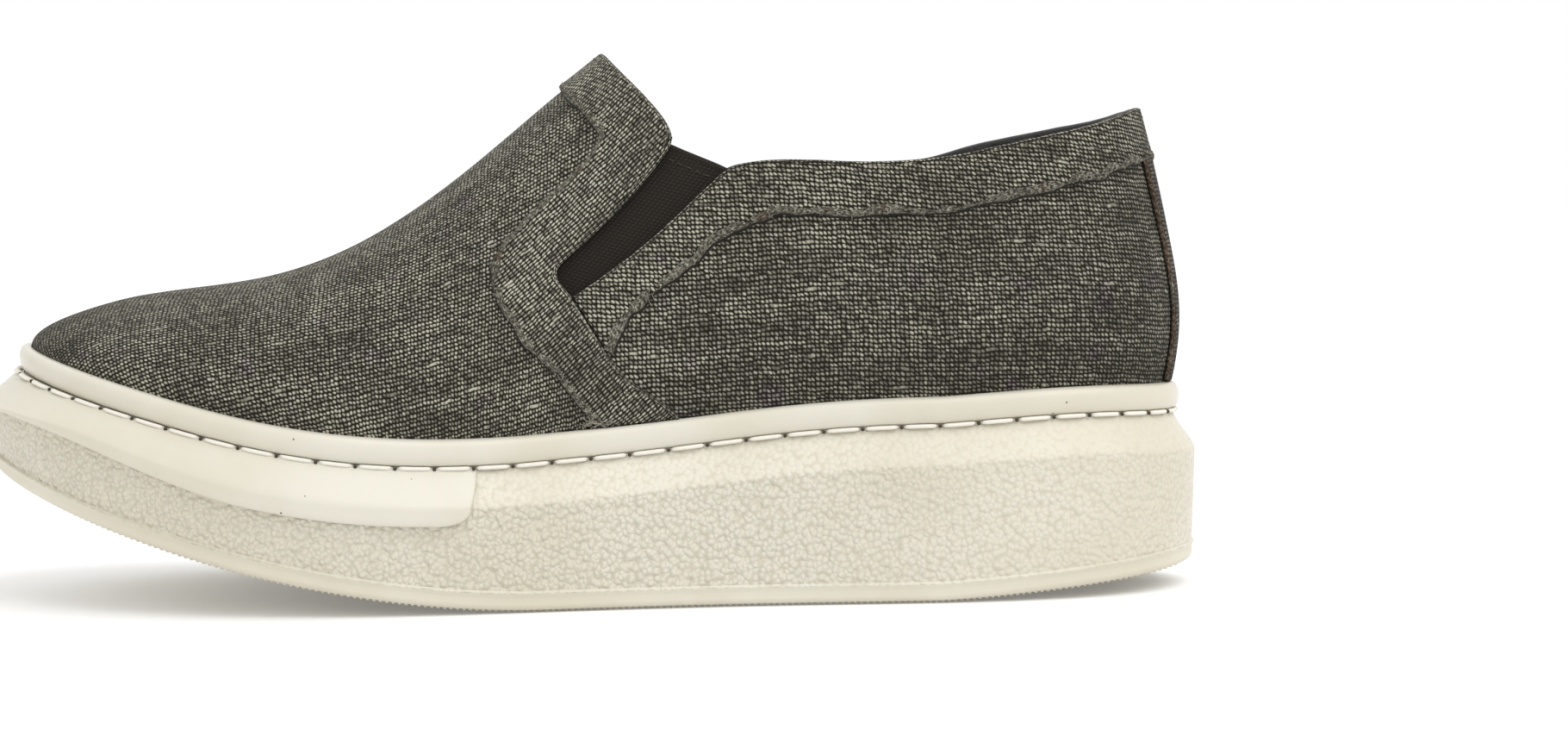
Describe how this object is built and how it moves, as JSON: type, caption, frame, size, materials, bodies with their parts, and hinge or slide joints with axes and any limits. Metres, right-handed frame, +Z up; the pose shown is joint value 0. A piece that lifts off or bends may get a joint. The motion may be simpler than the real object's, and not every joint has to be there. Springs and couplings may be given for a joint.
{
  "type": "slip-on shoe",
  "caption": "Canvas slip-on shoe, left foot, with stretch side gores, bound collar and a thick cream rubber platform sole with a toe bumper.",
  "frame": {"origin": "under the middle of the sole's length and width, on the floor the shoe stands on", "axes": "+X towards the heel, -X towards the toe, -Y towards the outer side of this left shoe, +Z up"},
  "size_m": [0.282, 0.1086, 0.1242],
  "materials": {
    "canvas": "washed grey canvas, matt",
    "elastic": "dark ribbed elastic, matt",
    "rubber": "cream pebbled rubber, satin",
    "gloss_rubber": "cream smooth rubber, semi gloss",
    "lining": "dark textile lining, matt"
  },
  "bodies": {
    "root": {"outsole": "rubber", "midsole": "rubber", "welt": "gloss_rubber", "toe_bumper": "gloss_rubber", "insole": "lining", "upper": "canvas", "facing": "canvas", "collar_binding": "canvas", "heel_strip": "canvas", "gore_lateral": "elastic", "gore_medial": "elastic"}
  },
  "joints": []
}
